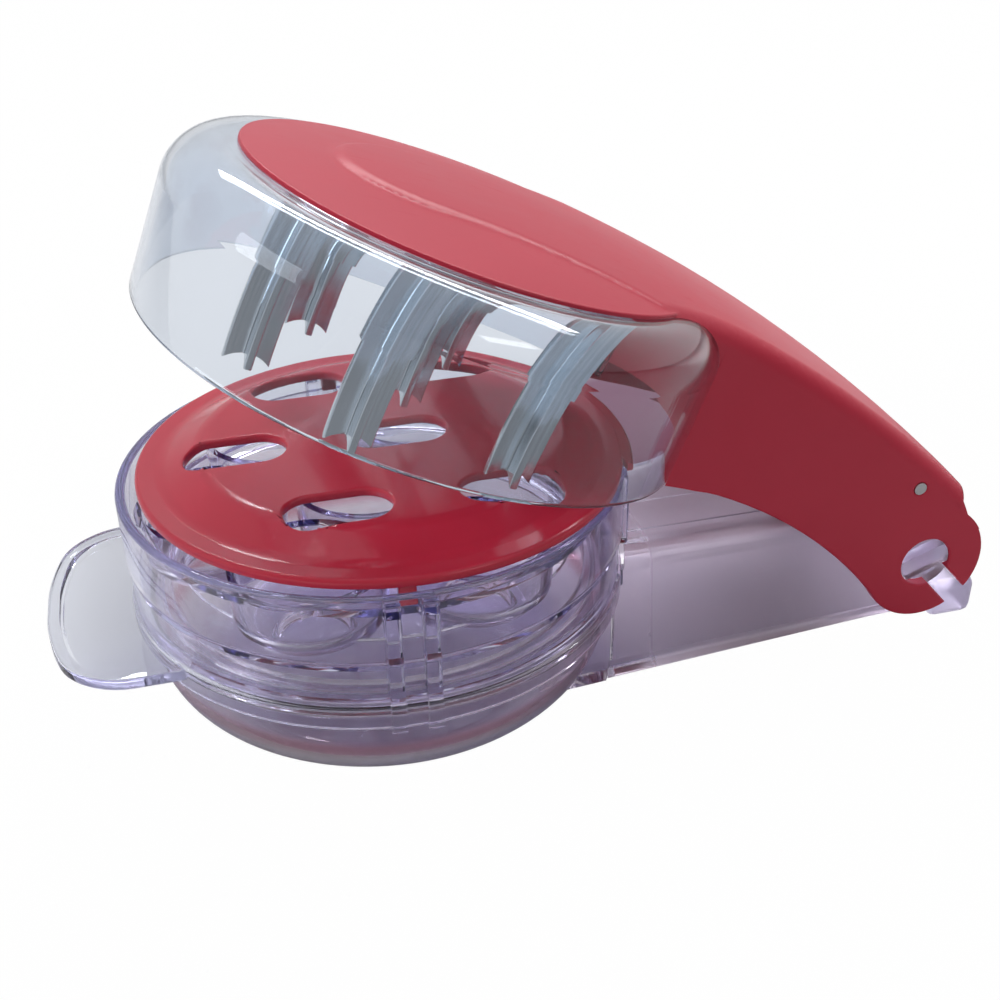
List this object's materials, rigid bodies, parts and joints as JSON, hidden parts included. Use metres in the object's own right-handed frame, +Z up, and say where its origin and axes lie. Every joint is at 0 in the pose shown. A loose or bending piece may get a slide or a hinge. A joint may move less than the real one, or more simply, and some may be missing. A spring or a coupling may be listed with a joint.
{
  "type": "cherry pitter",
  "caption": "Hand-pressed cherry pitter: hinged red head with clear splash shield and curved metal plungers over a slotted plate, a clear cup tray and a pit bowl.",
  "frame": {"origin": "centre of the bowl's flat foot, on the table", "axes": "+X to the hinge, +Z up, +Y to the left of a person at the front tab who faces the hinge"},
  "size_m": [0.1836, 0.102, 0.1058],
  "materials": {
    "red_plastic": "satin to gloss moulded red",
    "clear_plastic": "clear polished moulding",
    "violet_plastic": "clear polished moulding with a violet tint",
    "plunger_metal": "smooth cast metal",
    "spring_steel": "bright wire"
  },
  "bodies": {
    "bowl": {"pit_bowl": "clear_plastic"},
    "frame": {"base_frame": "clear_plastic", "tray_wall": "violet_plastic", "tray_deck": "violet_plastic", "tray_cup_front": "violet_plastic", "tray_cup_centre": "violet_plastic", "tray_cup_front_left": "violet_plastic", "tray_cup_front_right": "violet_plastic", "tray_cup_rear_left": "violet_plastic", "tray_cup_rear_right": "violet_plastic", "stripper_plate": "red_plastic"},
    "head": {"lever": "red_plastic", "splash_shield": "clear_plastic", "plunger_carrier": "red_plastic", "carrier_screws": "spring_steel", "plunger_front": "plunger_metal", "plunger_centre": "plunger_metal", "plunger_front_left": "plunger_metal", "plunger_front_right": "plunger_metal", "plunger_rear_left": "plunger_metal", "plunger_rear_right": "plunger_metal", "spring_pin": "spring_steel", "return_spring": "spring_steel"}
  },
  "joints": [
    {"name": "frame_lift", "type": "slide", "parent": "bowl", "child": "frame", "axis": [0, 0, 1], "range_m": [0, 0.03]},
    {"name": "lever_hinge", "type": "hinge", "parent": "frame", "child": "head", "pos_m": [0.106, 0, 0.0168], "axis": [0, 1, 0], "range_deg": [-22, 70], "stiffness_Nm_per_rad": 0.15, "springref_deg": 43.54, "deforming": ["return_spring"]}
  ]
}
